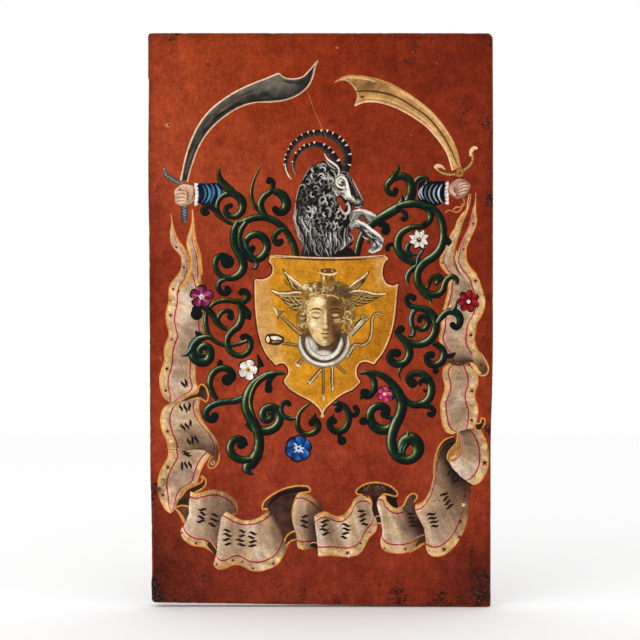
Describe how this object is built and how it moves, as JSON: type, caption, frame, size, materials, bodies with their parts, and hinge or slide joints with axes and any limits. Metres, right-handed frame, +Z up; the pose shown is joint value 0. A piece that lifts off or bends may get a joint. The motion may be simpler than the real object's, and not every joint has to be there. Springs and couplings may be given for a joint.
{
  "type": "coat of arms plaque",
  "caption": "Tall wooden wall panel with a flat painted coat of arms: gold shield, horned animal crest, sabre arms, leaf scrolls and a ribbon on a brick-red ground.",
  "frame": {"origin": "middle of the back face, where the panel meets the wall", "axes": "+Z up along the board's length, +X to the right seen from the front, painted face looks along -Y, back face looks along +Y"},
  "size_m": [0.4597, 0.02, 0.7644],
  "materials": {
    "painted_wood": "aged oil paint under satin varnish, bare worn wood on the back"
  },
  "bodies": {
    "root": {"painted_board": "painted_wood"}
  },
  "joints": []
}
